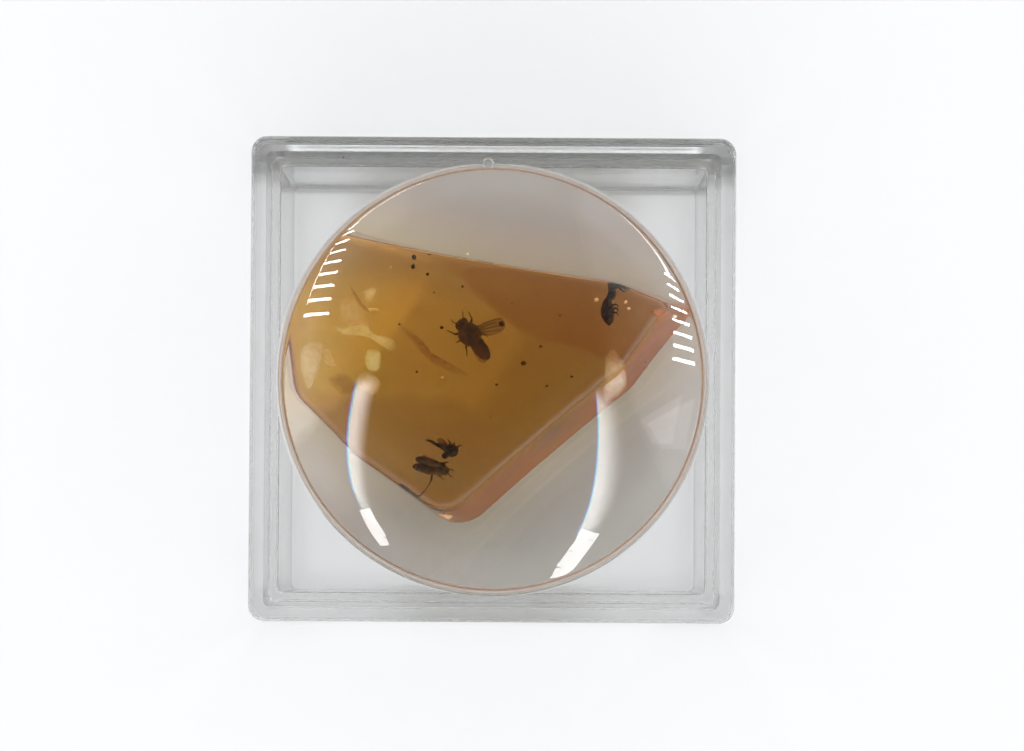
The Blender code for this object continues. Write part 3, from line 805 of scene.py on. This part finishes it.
def hairs(centre, radii, count, length, draw):
    """Fine hairs that stand out from an egg-shaped part of a body."""
    made = []
    for _ in range(count):
        turn, height = draw.uniform(0, 2 * math.pi), draw.uniform(-0.3, 0.95)
        flat = math.sqrt(1 - height * height)
        out = Vector((flat * math.cos(turn), flat * math.sin(turn), height))
        root = Vector([c + 0.9 * r * o for c, r, o in zip(centre, radii, out)])
        tip = root + length * draw.uniform(0.7, 1.2) * (out + Vector((-0.6, 0, 0))).normalized()
        made.append(taper([root, root.lerp(tip, 0.5), tip], [HAIR, 0.7 * HAIR, 0.3 * HAIR], 5))
    return made


def at_rest(obj, place, heading, tilt):
    """Sets a mesh made in mm in an insect's own frame to its place in the amber."""
    turn = Euler([math.radians(angle) for angle in (*tilt, heading)]).to_matrix().to_4x4()
    obj.data.transform(Matrix.Translation(Vector((*place, INSECT_HEIGHT)) * MM) @ turn @ Matrix.Scale(MM, 4))
    obj.data.update()
    return obj


def make_insect(name, slot, finish, pose, solids, films=()):
    """The insect as one closed body, and its wings as thin films of their own."""
    body = piece(name, solids[0], finish)
    limbs = [piece(f"{name}_part_{i}", bm, finish) for i, bm in enumerate(solids[1:])]
    united(body, limbs)
    body.data.shade_smooth()
    body.data.set_sharp_from_angle(angle=math.radians(50))
    keep(at_rest(body, *pose), slot, name.removesuffix("_body"))
    for i, (film, material) in enumerate(films):
        keep(at_rest(piece(f"{name.removesuffix('_body')}_wing_{i + 1}", film, material), *pose), slot, name.removesuffix("_body"))


def make_winged_insect(finish, film):
    draw = random.Random(11)
    spread = wing_frame((0.20, -0.12, 0.18), (-0.24, -1.10, 0.08), 0.50, 0.05)
    folded = wing_frame((0.13, 0.09, 0.235), (-0.78, 0.17, 0.225), 0.34, 0.0)
    thorax = ((0.20, 0, 0), (0.40, 0.37, 0.27))
    solids = [
        lump(*thorax),
        lump((0.60, 0, 0.0), (0.17, 0.23, 0.18)),
        lump((-0.32, 0, -0.02), (0.50, 0.25, 0.20), 6, 0.09),
        lump((0.64, 0.14, 0.03), (0.10, 0.09, 0.11)),
        lump((0.64, -0.14, 0.03), (0.10, 0.09, 0.11)),
        lump((-0.20, -1.02, 0.085), (0.10, 0.08, 0.022)),
        taper([(0.70, 0.10, 0.05), (0.86, 0.20, 0.10), (0.98, 0.18, 0.06)], [FEELER, FEELER, 0.6 * FEELER]),
        taper([(0.70, -0.10, 0.05), (0.84, -0.22, 0.08), (0.94, -0.30, 0.02)], [FEELER, FEELER, 0.6 * FEELER]),
    ]
    solids += legs((0.41, 0.24, 0.03), 0.31, 0.15, 0.22) + veins(spread) + veins(folded, 0.013)
    solids += hairs(*thorax, 14, 0.09, draw)
    pose = ((-0.70, 1.88), 129, (8, -5))
    make_insect("winged_insect_body", "brown_insect", finish, pose, solids, ((wing(spread), film), (wing(folded), film)))


def make_curled_insect(finish):
    draw = random.Random(12)
    spine = [(-0.40, 0, -0.05), (-0.30, 0, -0.03), (-0.12, 0.04, 0), (0.08, 0.07, 0.02)]
    spine += [(0.24, 0.07, 0.04), (0.36, 0.02, 0.05), (0.42, -0.07, 0.04), (0.43, -0.14, 0.02)]
    solids = [taper(spine, [0.04, 0.13, 0.20, 0.19, 0.14, 0.10, 0.075, 0.03], 28, 0.85)]
    solids += [lump((x, y, 0.01), (0.035, r, 0.87 * r)) for x, y, r in ((-0.22, 0.02, 0.178), (-0.10, 0.045, 0.212), (0.03, 0.063, 0.205))]
    solids.append(lump((0.41, -0.05, 0.04), (0.09, 0.12, 0.09)))
    solids.append(lump((0.44, -0.10, 0.09), (0.04, 0.04, 0.04)))
    solids.append(taper([(0.44, -0.12, 0.06), (0.42, -0.22, 0.10), (0.36, -0.28, 0.08)], [FEELER, FEELER, 0.6 * FEELER]))
    for hip in (-0.10, 0.04, 0.16):
        joints = [(hip, -0.08, -0.05), (hip + 0.03, -0.21, 0.0), (hip - 0.07, -0.26, -0.12)]
        solids.append(taper(joints, [1.3 * LEG, LEG, 0.5 * LEG]))
    solids += hairs((-0.05, 0.04, 0), (0.3, 0.2, 0.18), 8, 0.07, draw)
    make_insect("curled_insect_body", "black_insect", finish, ((3.62, 2.78), 90, (6, 0)), solids)


def make_small_fly(finish, film):
    draw = random.Random(13)
    folded = wing_frame((0.02, -0.02, 0.15), (-0.46, 0.16, 0.14), 0.20, 0.0)
    tail = [(-0.05, 0.0, 0), (-0.25, 0.02, 0), (-0.42, 0.01, -0.02), (-0.62, 0.05, -0.03), (-0.78, 0.03, -0.05)]
    solids = [
        lump((0.08, 0, 0.02), (0.22, 0.21, 0.19)),
        taper(tail, [0.13, 0.09, 0.055, 0.045, 0.02], 16),
        lump((-0.04, -0.24, 0.02), (0.10, 0.10, 0.09)),
        lump((-0.02, -0.30, 0.06), (0.05, 0.05, 0.05)),
    ]
    for hip, foot in ((0.20, 0.34), (0.10, 0.10), (0.0, -0.14)):
        joints = [(hip, 0.08, -0.08), (hip + 0.3 * (foot - hip), 0.24, -0.04), (foot, 0.33, -0.18)]
        solids.append(taper(joints, [1.2 * LEG, 0.9 * LEG, 0.45 * LEG]))
    solids += veins(folded, 0.010) + hairs((0.08, 0, 0.02), (0.22, 0.21, 0.19), 10, 0.06, draw)
    pose = ((-1.47, -1.66), -22, (-8, 4))
    make_insect("small_fly_body", "black_insect", finish, pose, solids, ((wing(folded), film),))


def make_beetle(finish):
    draw = random.Random(14)
    cases = ((-0.14, 0, 0.0), (0.47, 0.25, 0.19))
    limbs = legs((0.31, 0.09, -0.133), 0.19, 0.09, 0.12) + hairs(*cases, 10, 0.05, draw) + [
        taper([(0.52, 0.05, 0.0), (0.62, 0.10, 0.04), (0.70, 0.08, 0.02)], [FEELER, FEELER, 1.3 * FEELER]),
        taper([(0.52, -0.05, 0.0), (0.63, -0.09, 0.04), (0.72, -0.13, 0.01)], [FEELER, FEELER, 1.3 * FEELER]),
        taper([(0.08, -0.15, -0.08), (0.14, -0.36, -0.02), (0.12, -0.60, -0.16)], [1.5 * LEG, LEG, 0.5 * LEG]),
    ]
    trunk = [
        lump((-0.13, 0.115, 0.045), (0.43, 0.15, 0.18)),
        lump((-0.12, -0.120, 0.040), (0.44, 0.15, 0.18)),
        lump((0.30, 0.005, -0.012), (0.20, 0.22, 0.165)),
        lump((0.475, -0.004, -0.022), (0.12, 0.135, 0.11)),
        lump((0.49, 0.095, 0.0), (0.052, 0.05, 0.05)),
        lump((0.495, -0.098, 0.002), (0.05, 0.052, 0.05)),
    ]
    # The limbs come first, because the union loses the body when they come after the wing cases
    solids = [lump(*cases, 5, 0.05)] + limbs + trunk
    make_insect("beetle_body", "brown_insect", finish, ((-2.02, -2.20), -16, (10, 3)), solids)


# ---------------------------------------------------------------- inclusions

def grain(centre, radius, seed, stretch=(1, 1, 1), ragged=0.35):
    """A rough little grain in mm."""
    bm = bmesh.new()
    bmesh.ops.create_icosphere(bm, subdivisions=3, radius=1.0)
    for vert in bm.verts:
        bulge = 1 + ragged * noise.noise(1.7 * vert.co + Vector((seed, 0, 0)))
        vert.co = Vector([c + radius * s * bulge * v for c, s, v in zip(centre, stretch, vert.co)]) * MM
    return bm


def joined(name, meshes, finish):
    """One object from several closed meshes that don't touch."""
    whole = bmesh.new()
    for bm in meshes:
        mesh = bpy.data.meshes.new("grain")
        bm.to_mesh(mesh)
        bm.free()
        whole.from_mesh(mesh)
        bpy.data.meshes.remove(mesh)
    return piece(name, whole, finish, 70)


def make_grains(debris, pale):
    dark = [grain(at, radius, 3 * i, (1, 0.8, 0.7)) for i, (at, radius) in enumerate(SPECKS)]
    keep(joined("dark_specks", dark, debris), "brown_insect")
    # The bubbles are cream grains: painted glints for the light they catch
    bright = [grain(at, radius, 5 * i, (1, 0.9, 0.8), 0.12) for i, (at, radius) in enumerate(BUBBLES)]
    bright.append(grain((-3.85, 2.80, 3.1), 0.04, 77, (4.0, 1, 1), 0.15))
    keep(joined("bubbles", bright, pale), "amber")
    dust = [grain((-9.29, 13.66, LID_TOP + 0.05), 0.075, 90, (1, 0.8, 0.6)), grain((-9.05, 13.60, LID_TOP + 0.02), 0.035, 91)]
    keep(joined("dust_on_lid", dust, debris), "brown_insect")


def make_veil(name, outline, height, slope, finish):
    """A thin wavy sheet inside the stone, over an outline of points in mm, which tilts by the slope."""
    points = smooth_line([(x, y, 0) for x, y in outline + outline[:1]])[:-1]
    middle = sum(points, Vector()) / len(points)
    shares = [i / 8 for i in range(1, 9)]
    order = [(0.0, 1)] + [(s, 1) for s in shares] + [(s, -1) for s in shares[:-1][::-1]] + [(0.0, -1)]
    rings = []
    edge = []
    for share, side in order:
        ring = []
        for point in points if share else [middle]:
            flat = middle.lerp(point, share)
            rise = slope[0] * (flat.x - middle.x) + slope[1] * (flat.y - middle.y)
            rise += 0.08 * noise.noise(Vector((1.3 * flat.x, 1.3 * flat.y, height)))
            ring.append((flat.x, flat.y, height + rise + side * 0.008 * (1 - 0.8 * share)))
        rings.append(ring)
        edge += [share] * len(ring)
    obj = piece(name, skin(rings), finish, 80)
    obj.data.attributes.new("edge", "FLOAT", "POINT").data.foreach_set("value", edge)
    return keep(obj, "amber")


def make_veils(finishes):
    for name, height, slope, finish, outline in VEILS:
        make_veil(f"veil_{name}", outline, height, slope, finishes[finish])


# ---------------------------------------------------------------- setting

def make_floor():
    material, tree, shader = new_material("pale_table")
    shader.inputs["Base Color"].default_value = (0.82, 0.82, 0.82, 1.0)
    shader.inputs["Roughness"].default_value = 0.8
    bm = bmesh.new()
    bmesh.ops.create_grid(bm, x_segments=1, y_segments=1, size=1.5)
    obj = piece("table", bm, material)
    obj.location.z = -0.05 * MM


def between(tree, value, low, high, crisp_low, crisp_high):
    """1 between two edges, each with its own softness."""
    above = ramp(tree, math_node(tree, "SUBTRACT", value, low), -crisp_low, crisp_low)
    below = ramp(tree, math_node(tree, "SUBTRACT", high, value), -crisp_high, crisp_high)
    return math_node(tree, "MULTIPLY", above, below)


def sloping(tree, start, slope, along):
    return math_node(tree, "ADD", math_node(tree, "MULTIPLY", along, slope), start)


def daylight_gap(tree, along, up, low, high, ends, soft, fringe):
    """A slanting gap of daylight between two lines, in red, green and blue. Its crisp edge has a blue fringe."""
    extent = between(tree, along, ends[0], ends[1], ends[2], ends[2])
    shares = []
    for shift in (0.0, 0.5, 1.0):
        below = sloping(tree, low[0] - (fringe * shift if soft[0] < soft[1] else 0.0), low[1], along)
        above = sloping(tree, high[0] + (fringe * shift if soft[0] > soft[1] else 0.0), high[1], along)
        shares.append(math_node(tree, "MULTIPLY", between(tree, up, below, above, *soft), extent))
    return add(tree, "ShaderNodeCombineXYZ", enumerate(shares)).outputs[0]


def side_gap(tree, side, axes, low, high, ends, soft, fringe):
    """A gap beside the box, on a wall that stands at right angles to X."""
    ahead = math_node(tree, "MAXIMUM", math_node(tree, "MULTIPLY", axes[0], side), 0.0001)
    along = math_node(tree, "DIVIDE", axes[1], ahead)
    up = math_node(tree, "DIVIDE", axes[2], ahead)
    return daylight_gap(tree, along, up, low, high, ends, soft, fringe)


def vector_node(tree, operation, first, second):
    return add(tree, "ShaderNodeVectorMath", ((0, first), (1, second)), operation=operation).outputs[0]


def scaled(tree, vector, share):
    return add(tree, "ShaderNodeVectorMath", ((0, vector), ("Scale", share)), operation="SCALE").outputs[0]


def make_world():
    """Two skies: a soft even one that lights everything, and the one that clear surfaces mirror."""
    world = bpy.data.worlds.new("studio")
    world.use_nodes = True
    bpy.context.scene.world = world
    tree = world.node_tree
    toward = add(tree, "ShaderNodeTexCoord").outputs["Generated"]
    split = add(tree, "ShaderNodeSeparateXYZ", ((0, toward),))
    axes = [split.outputs[i] for i in range(3)]
    sides = blend_colours(tree, ramp(tree, axes[1], -1.0, 1.0, False), SKY_FRONT, SKY_BACK)
    sides = blend_colours(tree, ramp(tree, axes[2], 0.30, 0.05), sides, blend_colours(tree, ramp(tree, axes[1], -0.2, -0.7), sides, HORIZON_FRONT))
    mirrored = blend_colours(tree, ramp(tree, axes[2], 0.35, 0.78), sides, SKY_OVERHEAD)
    path = add(tree, "ShaderNodeLightPath")
    lighting = math_node(tree, "GREATER_THAN", path.outputs["Diffuse Depth"], 0.5)
    bounced = math_node(tree, "GREATER_THAN", path.outputs["Glossy Depth"], 0.5)
    # The lid's underside mirrors the two gaps beside the box, and nothing else shows them.
    gaps = vector_node(
        tree, "ADD",
        side_gap(tree, 1, axes, (2.23, -1.05), (2.62, -1.13), (0.12, 1.45, 0.06), (0.03, 0.30), 0.08),
        side_gap(tree, -1, axes, (2.92, -0.95), (3.10, -0.58), (0.25, 1.9, 0.08), (0.50, 0.03), 0.08),
    )
    seen = product(tree, bounced, math_node(tree, "COMPARE", path.outputs["Transmission Depth"], 2.0, 0.1))
    mirrored = vector_node(tree, "ADD", mirrored, scaled(tree, gaps, product(tree, seen, GLOW)))
    soft_light = blend_colours(tree, ramp(tree, axes[1], 0.1, -0.9), SKY_LIGHTING, FRONT_LIGHTING)
    tree.links.new(blend_colours(tree, lighting, mirrored, soft_light), tree.nodes["Background"].inputs["Color"])


def bar_light(name, low, high, width, power):
    """A narrow lamp between two points in mm, facing the box, which only the outer surfaces mirror."""
    low, high = Vector(low) * MM, Vector(high) * MM
    data = bpy.data.lights.new(name, "AREA")
    data.shape = "RECTANGLE"
    data.size = (high - low).length
    data.size_y = width * MM
    data.energy = power * data.size * data.size_y
    data.use_nodes = True
    tree = data.node_tree
    path = add(tree, "ShaderNodeLightPath")
    outside = math_node(tree, "LESS_THAN", path.outputs["Transmission Depth"], 0.5)
    direct = math_node(tree, "LESS_THAN", path.outputs["Diffuse Depth"], 0.5)
    tree.links.new(product(tree, outside, direct), tree.nodes["Emission"].inputs["Strength"])
    obj = bpy.data.objects.new(name, data)
    along = (high - low).normalized()
    away = (low + high) / 2 - Vector((0, 0, LID_TOP * MM))
    away = (away - along * away.dot(along)).normalized()
    middle = (low + high) / 2
    obj.matrix_world = Matrix.Translation(middle) @ Matrix((along, away.cross(along), away)).transposed().to_4x4()
    obj.visible_camera = False
    obj.visible_diffuse = False
    bpy.context.scene.collection.objects.link(obj)


def beside(side, along, up):
    """A place on an upright wall far to one side of the box, given as shares of the distance."""
    return (side * REACH, along * REACH, LID_TOP + up * REACH)


def make_lights():
    """The slats and rails that the lens's rim mirrors, and the two bent lamps below the inner streaks."""
    for side, (count, near, far, width) in SLATS.items():
        for i in range(count):
            ends = [beside(side, y + step * i, z + rise * i) for y, step, z, rise in (near, far)]
            bar_light(f"slat_{side}_{i}", *ends, width * (1 - 0.05 * i) * REACH, SLAT_POWER)
    for i, (side, low, high, width) in enumerate(RAILS):
        bar_light(f"rail_{i}", beside(side, *low), beside(side, *high), width * REACH, RAIL_POWER)
    for number, lamp in enumerate(LAMPS):
        for i, (low, high) in enumerate(zip(lamp, lamp[1:])):
            bar_light(f"lamp_{number}_{i}", low[:3], high[:3], (low[3] + high[3]) / 2, LAMP_POWER)


def make_camera():
    data = bpy.data.cameras.new("view")
    data.sensor_width = SENSOR
    data.lens = SENSOR * PIXELS_PER_MM * CAMERA_DISTANCE / PICTURE[0]
    data.clip_start = 0.01
    obj = bpy.data.objects.new("view", data)
    back = Vector((0, -math.cos(CAMERA_ELEVATION), math.sin(CAMERA_ELEVATION)))
    right = Vector((1, 0, 0))
    up = back.cross(right)
    turned_right = right * math.cos(CAMERA_ROLL) + up * math.sin(CAMERA_ROLL)
    turned_up = up * math.cos(CAMERA_ROLL) - right * math.sin(CAMERA_ROLL)
    place = Vector((0, 0, LID_TOP)) + back * CAMERA_DISTANCE
    place -= turned_right * (BOX_AT[0] - PICTURE[0] / 2) / PIXELS_PER_MM
    place -= turned_up * (PICTURE[1] / 2 - BOX_AT[1]) / PIXELS_PER_MM
    axes = Matrix((turned_right, turned_up, back)).transposed().to_4x4()
    obj.matrix_world = Matrix.Translation(place * MM) @ axes
    bpy.context.scene.collection.objects.link(obj)
    bpy.context.scene.camera = obj


def set_rays():
    """Enough bounces for light to reach the table through both plastics and the amber."""
    scene = bpy.context.scene
    scene.view_settings.view_transform = "Standard"
    cycles = scene.cycles
    cycles.max_bounces = 24
    cycles.transmission_bounces = 24
    cycles.glossy_bounces = 12
    cycles.transparent_max_bounces = 12
    cycles.sample_clamp_indirect = 0
    cycles.blur_glossy = 0.0


def main():
    keep(make_lid(clear_plastic("clear_lid")), "clear_plastic", "box_lid")
    keep(make_base(clear_plastic("clear_box", floor=True)), "clear_plastic", "box_base")
    keep(make_amber(amber_resin()), "amber", "amber_lower", "amber_upper")
    brown = chitin("brown_chitin", (0.030, 0.013, 0.007, 1), (0.085, 0.038, 0.018, 1), 0.30)
    grey_brown = chitin("beetle_chitin", (0.028, 0.014, 0.010, 1), (0.105, 0.075, 0.060, 1), 0.25)
    black = chitin("black_chitin", (0.006, 0.005, 0.005, 1), (0.022, 0.015, 0.014, 1), 0.22)
    film = wing_film()
    make_winged_insect(brown, film)
    make_curled_insect(black)
    make_small_fly(black, film)
    make_beetle(grey_brown)
    make_grains(chitin("debris", (0.020, 0.010, 0.005, 1), (0.06, 0.03, 0.012, 1), 0.6), bubble_glint_finish())
    # The cream, gold and bright sheets are cracks coloured as painted glints; the orange sheet is a painted glint near
    # the slab's foot
    make_veils({
        "cream": veil_film("cream_crack_glint", (0.96, 0.84, 0.62, 1), (1.0, 0.95, 0.84, 1), 0.92),
        "gold": veil_film("gold_crack_glint", (0.94, 0.78, 0.42, 1), (1.0, 0.92, 0.64, 1), 0.66),
        "bright": veil_film("bright_crack_glint", (0.98, 0.86, 0.44, 1), (1.0, 0.98, 0.70, 1), 0.92),
        "rosy": veil_film("rosy_veil", (0.92, 0.74, 0.52, 1), (0.98, 0.88, 0.72, 1), 0.50),
        "shadow": veil_film("shadow_veil", (0.20, 0.07, 0.01, 1), (0.34, 0.14, 0.03, 1), 0.42),
        "painted_orange_glint": veil_film("orange_glint_film", (1.0, 0.55, 0.22, 1), (1.0, 0.78, 0.45, 1), 0.95),
    })
    make_floor()
    make_world()
    make_lights()
    make_camera()
    set_rays()


main()
